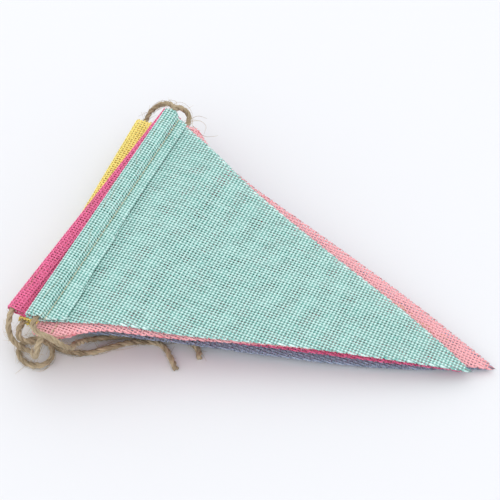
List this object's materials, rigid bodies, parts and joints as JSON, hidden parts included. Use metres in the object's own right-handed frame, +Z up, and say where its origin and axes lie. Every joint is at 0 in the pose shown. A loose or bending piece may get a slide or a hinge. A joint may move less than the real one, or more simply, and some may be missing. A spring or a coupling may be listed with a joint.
{
  "type": "folded fabric bunting",
  "caption": "Burlap pennant flags in soft colours, threaded through sewn casings on one jute twine and folded up into a loose stack; a garland to hang up or lay by.",
  "frame": {"origin": "middle of the flags' footprint on the surface that the stack lies on", "axes": "+X from the casings to the flags' tips, +Y along the casings, +Z up from the surface"},
  "size_m": [0.2064, 0.1625, 0.0316],
  "materials": {
    "burlap_mint": "dyed open-weave burlap, matt",
    "burlap_coral": "dyed open-weave burlap, matt",
    "burlap_pink": "dyed open-weave burlap, matt",
    "burlap_yellow": "dyed open-weave burlap, matt",
    "burlap_blue": "dyed open-weave burlap, matt",
    "burlap_green": "dyed open-weave burlap, matt",
    "jute_twine": "natural twisted jute, hairy"
  },
  "bodies": {
    "root": {"flag_1_mint": "burlap_mint", "flag_2_coral": "burlap_coral", "flag_3_pink": "burlap_pink", "flag_4_yellow": "burlap_yellow", "flag_5_blue": "burlap_blue", "flag_6_green": "burlap_green", "twine": "jute_twine"}
  },
  "joints": []
}
